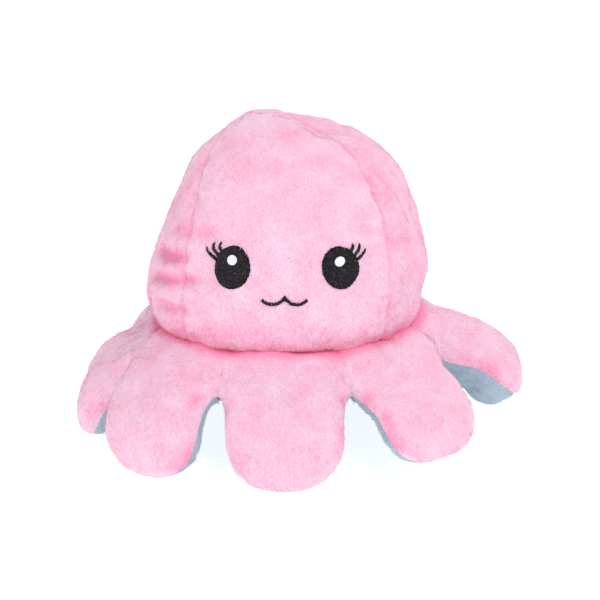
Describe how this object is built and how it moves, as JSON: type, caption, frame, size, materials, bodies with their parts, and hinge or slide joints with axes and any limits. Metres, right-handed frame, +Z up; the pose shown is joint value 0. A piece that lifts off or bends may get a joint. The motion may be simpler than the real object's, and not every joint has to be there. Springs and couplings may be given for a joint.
{
  "type": "plush octopus",
  "caption": "Reversible plush octopus that stands on its folding padded arms, with a pocket inside its domed head for turning it inside out.",
  "frame": {"origin": "on the floor, under the middle of the whole toy's box", "axes": "+Z up, the face looks along -Y, +X to the viewer's right"},
  "size_m": [0.2058, 0.1922, 0.1407],
  "materials": {
    "pink_plush": "short velvety pile",
    "blue_plush": "short velvety pile",
    "fibre_filling": "loose polyester fibre",
    "black_thread": "satin-stitched thread",
    "white_thread": "satin-stitched thread"
  },
  "bodies": {
    "head_and_skirt": {"head_front_panel": "pink_plush", "pocket_front_lining": "blue_plush", "head_right_panel": "pink_plush", "pocket_right_lining": "blue_plush", "head_back_panel": "pink_plush", "pocket_back_lining": "blue_plush", "head_left_panel": "pink_plush", "pocket_left_lining": "blue_plush", "head_filling": "fibre_filling", "mouth_stitching": "black_thread", "reverse_mouth_stitching": "black_thread", "left_eye": "black_thread", "left_eye_glint": "white_thread", "left_outer_lash": "black_thread", "left_middle_lash": "black_thread", "left_inner_lash": "black_thread", "reverse_left_eye": "black_thread", "right_eye": "black_thread", "right_eye_glint": "white_thread", "right_outer_lash": "black_thread", "right_middle_lash": "black_thread", "right_inner_lash": "black_thread", "reverse_right_eye": "black_thread", "skirt_upper_cover": "pink_plush", "skirt_under_cover": "blue_plush", "skirt_filling": "fibre_filling"},
    "front_arm": {"front_arm_upper_cover": "pink_plush", "front_arm_under_cover": "blue_plush", "front_arm_filling": "fibre_filling"},
    "front_right_arm": {"front_right_arm_upper_cover": "pink_plush", "front_right_arm_under_cover": "blue_plush", "front_right_arm_filling": "fibre_filling"},
    "right_arm": {"right_arm_upper_cover": "pink_plush", "right_arm_under_cover": "blue_plush", "right_arm_filling": "fibre_filling"},
    "back_right_arm": {"back_right_arm_upper_cover": "pink_plush", "back_right_arm_under_cover": "blue_plush", "back_right_arm_filling": "fibre_filling"},
    "back_arm": {"back_arm_upper_cover": "pink_plush", "back_arm_under_cover": "blue_plush", "back_arm_filling": "fibre_filling"},
    "back_left_arm": {"back_left_arm_upper_cover": "pink_plush", "back_left_arm_under_cover": "blue_plush", "back_left_arm_filling": "fibre_filling"},
    "left_arm": {"left_arm_upper_cover": "pink_plush", "left_arm_under_cover": "blue_plush", "left_arm_filling": "fibre_filling"},
    "front_left_arm": {"front_left_arm_upper_cover": "pink_plush", "front_left_arm_under_cover": "blue_plush", "front_left_arm_filling": "fibre_filling"}
  },
  "joints": [
    {"name": "front_arm_fold", "type": "hinge", "parent": "head_and_skirt", "child": "front_arm", "pos_m": [-0.00683, -0.07484, 0.0423], "axis": [-1, 0, 0], "range_deg": [-12, 90], "stiffness_Nm_per_rad": 0.05},
    {"name": "front_right_arm_fold", "type": "hinge", "parent": "head_and_skirt", "child": "front_right_arm", "pos_m": [0.04609, -0.05292, 0.0423], "axis": [-0.7071, -0.7071, 0], "range_deg": [-26, 76], "stiffness_Nm_per_rad": 0.05},
    {"name": "right_arm_fold", "type": "hinge", "parent": "head_and_skirt", "child": "right_arm", "pos_m": [0.06801, 0, 0.0423], "axis": [0, -1, 0], "range_deg": [-39, 63], "stiffness_Nm_per_rad": 0.05},
    {"name": "back_right_arm_fold", "type": "hinge", "parent": "head_and_skirt", "child": "back_right_arm", "pos_m": [0.04609, 0.05292, 0.0423], "axis": [0.7071, -0.7071, 0], "range_deg": [-12, 90], "stiffness_Nm_per_rad": 0.05},
    {"name": "back_arm_fold", "type": "hinge", "parent": "head_and_skirt", "child": "back_arm", "pos_m": [-0.00683, 0.07484, 0.0423], "axis": [1, 0, 0], "range_deg": [-12, 90], "stiffness_Nm_per_rad": 0.05},
    {"name": "back_left_arm_fold", "type": "hinge", "parent": "head_and_skirt", "child": "back_left_arm", "pos_m": [-0.05975, 0.05292, 0.0423], "axis": [0.7071, 0.7071, 0], "range_deg": [-12, 90], "stiffness_Nm_per_rad": 0.05},
    {"name": "left_arm_fold", "type": "hinge", "parent": "head_and_skirt", "child": "left_arm", "pos_m": [-0.08167, 0, 0.0423], "axis": [0, 1, 0], "range_deg": [-12, 90], "stiffness_Nm_per_rad": 0.05},
    {"name": "front_left_arm_fold", "type": "hinge", "parent": "head_and_skirt", "child": "front_left_arm", "pos_m": [-0.05975, -0.05292, 0.0423], "axis": [-0.7071, 0.7071, 0], "range_deg": [-12, 90], "stiffness_Nm_per_rad": 0.05}
  ]
}
